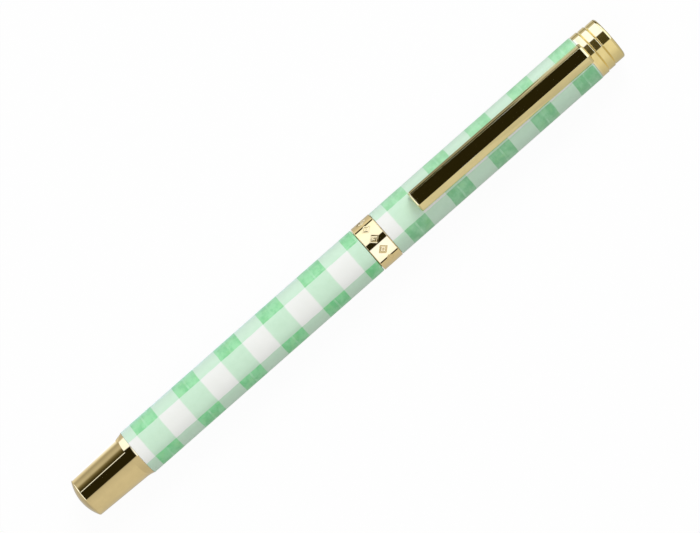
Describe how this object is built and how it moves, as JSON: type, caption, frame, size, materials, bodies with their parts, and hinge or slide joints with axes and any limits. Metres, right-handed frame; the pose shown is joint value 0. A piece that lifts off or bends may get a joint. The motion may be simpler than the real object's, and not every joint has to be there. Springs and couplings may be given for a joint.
{
  "type": "capped gel pen",
  "caption": "Slim capped gel pen: checked lacquer barrel and snap cap, gold trim, flat pocket clip, screw-in writing section and a long refill.",
  "frame": {"origin": "on the pen's axis, in the plane of the barrel's mouth, where the cap's lip meets the barrel", "axes": "+X along the pen's axis towards the cap's finial, -X towards the tail, +Z towards the pocket clip; the pen lies on its side"},
  "size_m": [0.1381, 0.0104, 0.0137],
  "materials": {
    "gingham_lacquer": "satin",
    "gold_trim": "polished",
    "plain_brass": "turned",
    "spring_steel": "drawn",
    "nickel_silver": "polished",
    "black_grip": "satin",
    "white_plastic": "satin",
    "refill_plastic": "translucent",
    "gel_ink": "wet",
    "clear_gel": "translucent"
  },
  "bodies": {
    "barrel": {"barrel_tube": "gingham_lacquer", "tail_plug": "gold_trim", "barrel_insert": "plain_brass", "refill_spring": "spring_steel"},
    "collar": {"trim_ring": "gold_trim"},
    "section": {"grip_section": "black_grip", "nose_cone": "gold_trim"},
    "refill": {"refill_tube": "refill_plastic", "refill_end_plug": "white_plastic", "tip_holder": "white_plastic", "tip_point": "nickel_silver", "ink_column": "gel_ink", "ink_follower": "clear_gel"},
    "ball": {"tip_ball": "spring_steel"},
    "cap": {"cap_tube": "gingham_lacquer", "centre_band": "gold_trim", "inner_cap": "white_plastic", "cap_bushing": "plain_brass", "finial_screw": "spring_steel", "clip_ring": "gold_trim", "cap_finial": "gold_trim"},
    "clip": {"pocket_clip": "gold_trim"}
  },
  "joints": [
    {"name": "collar_travel", "type": "slide", "parent": "barrel", "child": "collar", "axis": [1, 0, 0], "range_m": [0, 0.00637]},
    {"name": "section_twist", "type": "hinge", "parent": "collar", "child": "section", "pos_m": [0, 0, 0], "axis": [1, 0, 0], "range_deg": [0, 3060]},
    {"name": "refill_float", "type": "slide", "parent": "section", "child": "refill", "axis": [-1, 0, 0], "range_m": [0, 0.0015], "stiffness_N_per_m": 400, "springref_m": -0.001, "deforming": ["refill_spring"]},
    {"name": "ball_roll", "type": "hinge", "parent": "refill", "child": "ball", "pos_m": [0.04715, 0, 0], "axis": [0, 1, 0], "continuous": true},
    {"name": "cap_pull", "type": "slide", "parent": "section", "child": "cap", "axis": [1, 0, 0], "range_m": [0, 0.055]},
    {"name": "clip_flex", "type": "hinge", "parent": "cap", "child": "clip", "pos_m": [0.0575, 0, 0.00472], "axis": [0, 1, 0], "range_deg": [0, 2.5], "stiffness_Nm_per_rad": 0.5}
  ],
  "couplings": [
    {"joint": "collar_travel", "follows": "section_twist", "m_per_rad": 0.00011937}
  ]
}
